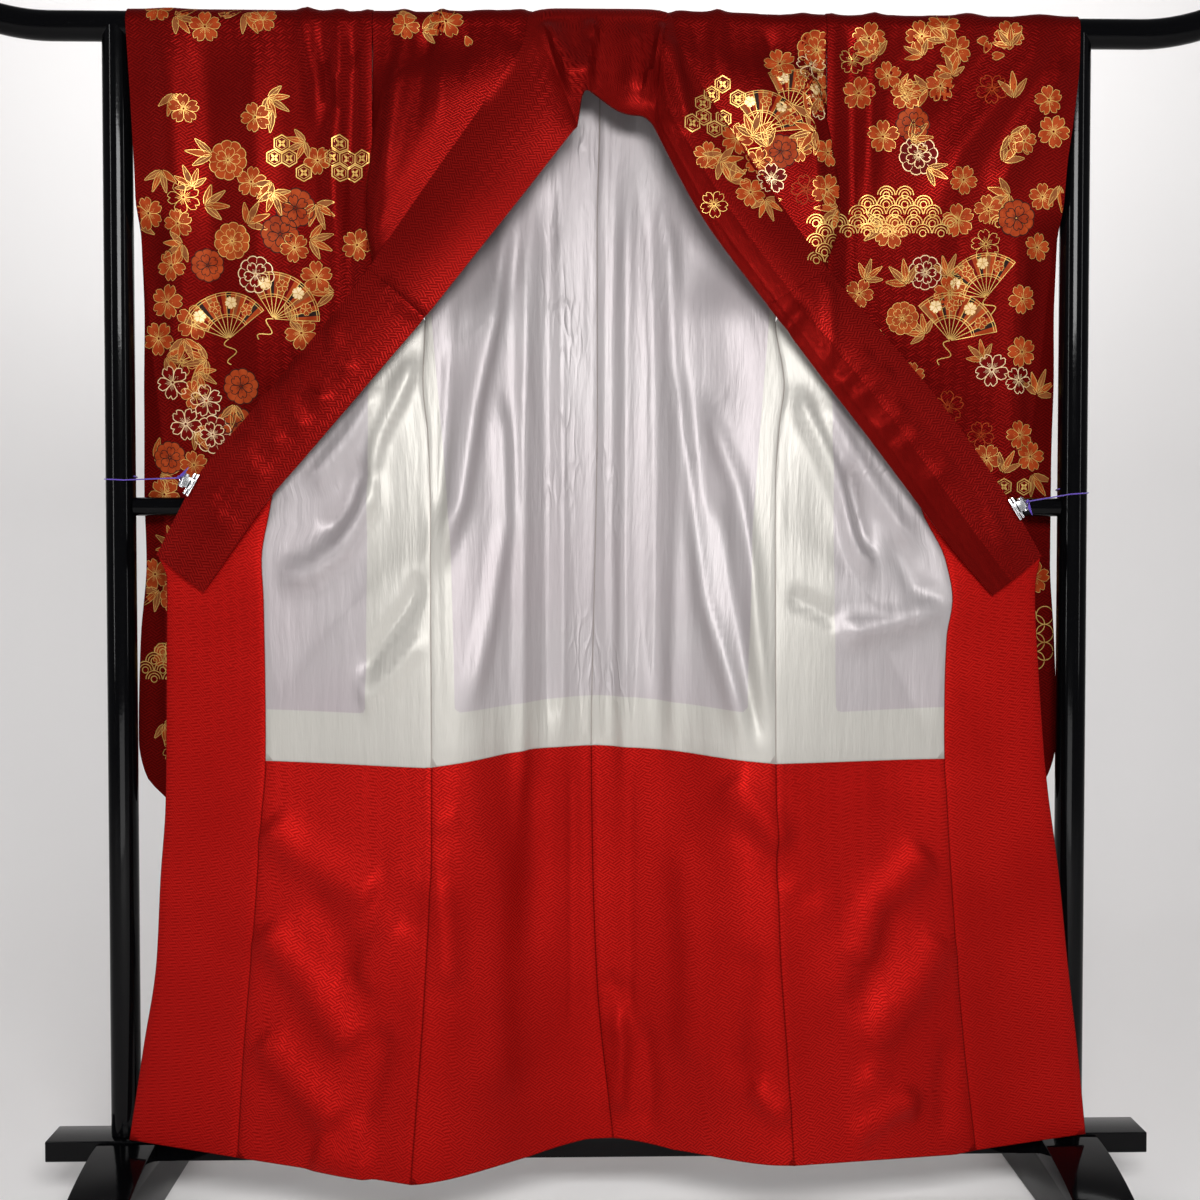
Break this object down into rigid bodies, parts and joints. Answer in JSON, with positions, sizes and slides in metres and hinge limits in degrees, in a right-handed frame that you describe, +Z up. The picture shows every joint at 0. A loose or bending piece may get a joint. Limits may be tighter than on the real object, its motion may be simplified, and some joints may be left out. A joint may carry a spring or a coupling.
{
  "type": "furisode on a kimono stand",
  "caption": "Long-sleeved red silk robe hung over the bar of a black lacquered stand, its fronts pulled open by two clips to show a white and red lining",
  "frame": {"origin": "on the floor under the middle of the stand", "axes": "+Z up, the opened front faces -Y, +X runs along the bar to the viewer's right"},
  "size_m": [1.8166, 0.6, 1.7097],
  "materials": {
    "silk": "satin",
    "collar_silk": "satin",
    "white_satin": "satin",
    "red_lining": "satin",
    "lacquer": "gloss",
    "clip_steel": "polished",
    "string": "matte"
  },
  "bodies": {
    "root": {"body_left_back": "silk", "body_left_front": "silk", "body_right_back": "silk", "body_right_front": "silk", "okumi_left": "silk", "okumi_right": "silk", "sleeve_left_back": "silk", "sleeve_left_front": "silk", "sleeve_right_back": "silk", "sleeve_right_front": "silk", "collar": "collar_silk", "over_collar": "collar_silk", "lining_left_back": "white_satin", "lining_left_front": "white_satin", "lining_right_back": "white_satin", "lining_right_front": "white_satin", "hem_lining_left_back": "red_lining", "hem_lining_left_front": "red_lining", "hem_lining_left_okumi": "red_lining", "hem_lining_right_back": "red_lining", "hem_lining_right_front": "red_lining", "hem_lining_right_okumi": "red_lining", "top_bar": "lacquer", "upright_left": "lacquer", "upright_right": "lacquer", "middle_rail": "lacquer", "base_plank": "lacquer", "foot_left": "lacquer", "foot_right": "lacquer", "clip_left": "clip_steel", "clip_right": "clip_steel", "clip_cord_left": "string", "clip_cord_right": "string"}
  },
  "joints": []
}
